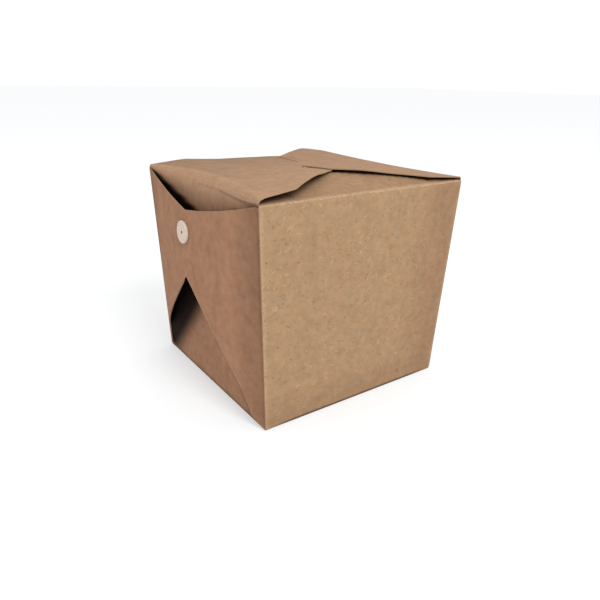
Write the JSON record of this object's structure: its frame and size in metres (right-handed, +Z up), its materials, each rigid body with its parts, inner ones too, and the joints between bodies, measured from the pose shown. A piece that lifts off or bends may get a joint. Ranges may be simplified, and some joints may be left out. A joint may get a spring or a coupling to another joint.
{
  "type": "noodle takeaway box",
  "caption": "Shut kraft paperboard noodle box, wider at the top, with gussets folded across each end and riveted, and interlocked lid flaps.",
  "frame": {"origin": "middle of the base, on the surface that the box stands on", "axes": "+Z up; X along the plain sides, through both rivets; the plain sides face -Y and +Y and the riveted ends face -X and +X"},
  "size_m": [0.1216, 0.1036, 0.1032],
  "materials": {
    "kraft_board": "uncoated brown kraft board, matt, with fine fibres and pale worn folds",
    "rivet_plastic": "cream plastic with a low sheen"
  },
  "bodies": {
    "root": {"carton": "kraft_board", "rivet_left": "rivet_plastic", "rivet_right": "rivet_plastic"}
  },
  "joints": []
}
